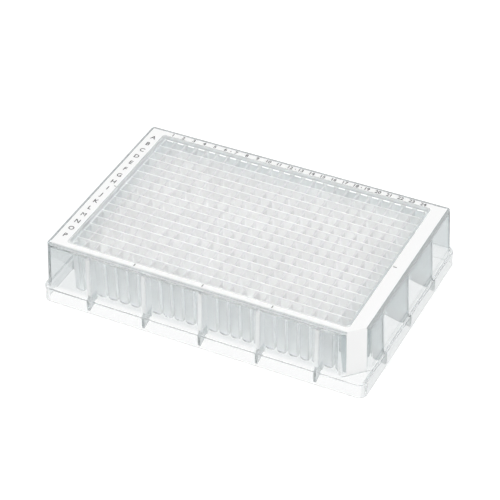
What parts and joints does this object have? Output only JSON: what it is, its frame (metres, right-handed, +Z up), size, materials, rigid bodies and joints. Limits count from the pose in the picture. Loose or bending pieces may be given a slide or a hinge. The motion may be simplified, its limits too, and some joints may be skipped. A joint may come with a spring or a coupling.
{
  "type": "deep-well plate",
  "caption": "Clear moulded laboratory plate with a grid of square deep wells, a flanged base, a white border round the top and one chamfered key corner.",
  "frame": {"origin": "centre of the base's footprint, on the plane that the skirt stands on", "axes": "+Z up out of the well mouths, +X along the rows from column 1 to column 24, +Y from row P to row A; the chamfered corner is at +X -Y"},
  "size_m": [0.1278, 0.0854, 0.0256],
  "materials": {
    "clear_plastic": "clear natural polypropylene, polished mould surface",
    "white_plastic": "opaque white polypropylene, satin"
  },
  "bodies": {
    "root": {"plate_body": "clear_plastic", "white_border": "white_plastic"}
  },
  "joints": []
}
